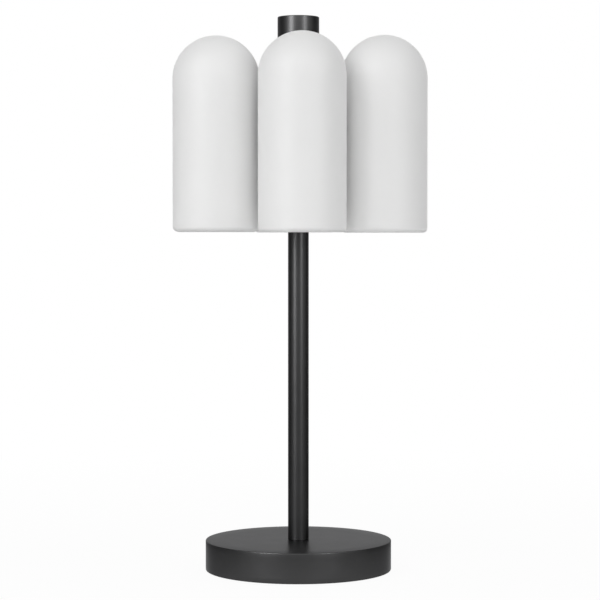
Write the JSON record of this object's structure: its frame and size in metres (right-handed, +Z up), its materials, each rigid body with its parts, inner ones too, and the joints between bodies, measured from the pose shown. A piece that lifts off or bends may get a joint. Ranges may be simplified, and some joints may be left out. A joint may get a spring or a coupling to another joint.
{
  "type": "table lamp",
  "caption": "Table lamp with a round weighted base, a slim metal column and a ring of tall domed opal glass shades hung on short arms round a cylindrical hub",
  "frame": {"origin": "centre of the underside of the felt pad, on the surface that the lamp stands on", "axes": "+Z up along the column; the first shade faces -Y, the front; the cable inlet is at the back, +Y"},
  "size_m": [0.2994, 0.33, 0.666],
  "materials": {
    "opal_glass": "matte opal white, blown and acid-etched",
    "dark_metal": "satin gunmetal black",
    "zinc_steel": "zinc plated",
    "spring_steel": "oiled spring steel",
    "cast_iron": "as cast, oiled",
    "brass": "plain",
    "felt": "pressed black felt",
    "silicone": "translucent white silicone",
    "holder_ceramic": "unglazed steatite",
    "bulb_glass": "frosted white diffuser",
    "black_plastic": "moulded, matte",
    "lead_insulation": "heat-proof sleeving",
    "wire_insulation": "smooth insulation"
  },
  "bodies": {
    "lamp": {"arm_nuts": "zinc_steel", "arm_sleeve_1": "dark_metal", "arm_sleeve_2": "dark_metal", "arm_sleeve_3": "dark_metal", "arm_sleeve_4": "dark_metal", "arm_sleeve_5": "dark_metal", "arm_sleeve_6": "dark_metal", "arm_threaded_pipes": "zinc_steel", "base_cover": "dark_metal", "base_plate": "zinc_steel", "base_threaded_pipe": "zinc_steel", "base_washer": "zinc_steel", "base_weight": "cast_iron", "cable_bushing": "black_plastic", "cup_washers": "zinc_steel", "earth_tag": "brass", "felt_pad": "felt", "glass_shade_1": "opal_glass", "glass_shade_2": "opal_glass", "glass_shade_3": "opal_glass", "glass_shade_4": "opal_glass", "glass_shade_5": "opal_glass", "glass_shade_6": "opal_glass", "holder_leads": "lead_insulation", "holder_screws": "zinc_steel", "hub_body": "dark_metal", "hub_cap": "dark_metal", "hub_threaded_pipe": "zinc_steel", "inner_gaskets": "silicone", "lamp_bracket_1": "zinc_steel", "lamp_bracket_2": "zinc_steel", "lamp_bracket_3": "zinc_steel", "lamp_bracket_4": "zinc_steel", "lamp_bracket_5": "zinc_steel", "lamp_bracket_6": "zinc_steel", "lamp_holder_1": "holder_ceramic", "lamp_holder_2": "holder_ceramic", "lamp_holder_3": "holder_ceramic", "lamp_holder_4": "holder_ceramic", "lamp_holder_5": "holder_ceramic", "lamp_holder_6": "holder_ceramic", "lock_washers": "zinc_steel", "outer_gaskets": "silicone", "plate_screws": "zinc_steel", "snap_ring": "spring_steel", "stem_lower_plug": "zinc_steel", "stem_nuts": "zinc_steel", "stem_tube": "dark_metal", "stem_upper_plug": "zinc_steel", "stem_wires": "wire_insulation", "terminal_block": "black_plastic", "terminal_disc": "black_plastic", "terminal_screws": "zinc_steel"},
    "bulb_1": {"bulb_1": "bulb_glass"},
    "bulb_2": {"bulb_2": "bulb_glass"},
    "bulb_3": {"bulb_3": "bulb_glass"},
    "bulb_4": {"bulb_4": "bulb_glass"},
    "bulb_5": {"bulb_5": "bulb_glass"},
    "bulb_6": {"bulb_6": "bulb_glass"}
  },
  "joints": [
    {"name": "bulb_1_pull", "type": "slide", "parent": "lamp", "child": "bulb_1", "axis": [0, 0, -1], "range_m": [0, 0.14]},
    {"name": "bulb_2_pull", "type": "slide", "parent": "lamp", "child": "bulb_2", "axis": [0, 0, -1], "range_m": [0, 0.14]},
    {"name": "bulb_3_pull", "type": "slide", "parent": "lamp", "child": "bulb_3", "axis": [0, 0, -1], "range_m": [0, 0.14]},
    {"name": "bulb_4_pull", "type": "slide", "parent": "lamp", "child": "bulb_4", "axis": [0, 0, -1], "range_m": [0, 0.14]},
    {"name": "bulb_5_pull", "type": "slide", "parent": "lamp", "child": "bulb_5", "axis": [0, 0, -1], "range_m": [0, 0.14]},
    {"name": "bulb_6_pull", "type": "slide", "parent": "lamp", "child": "bulb_6", "axis": [0, 0, -1], "range_m": [0, 0.14]}
  ]
}
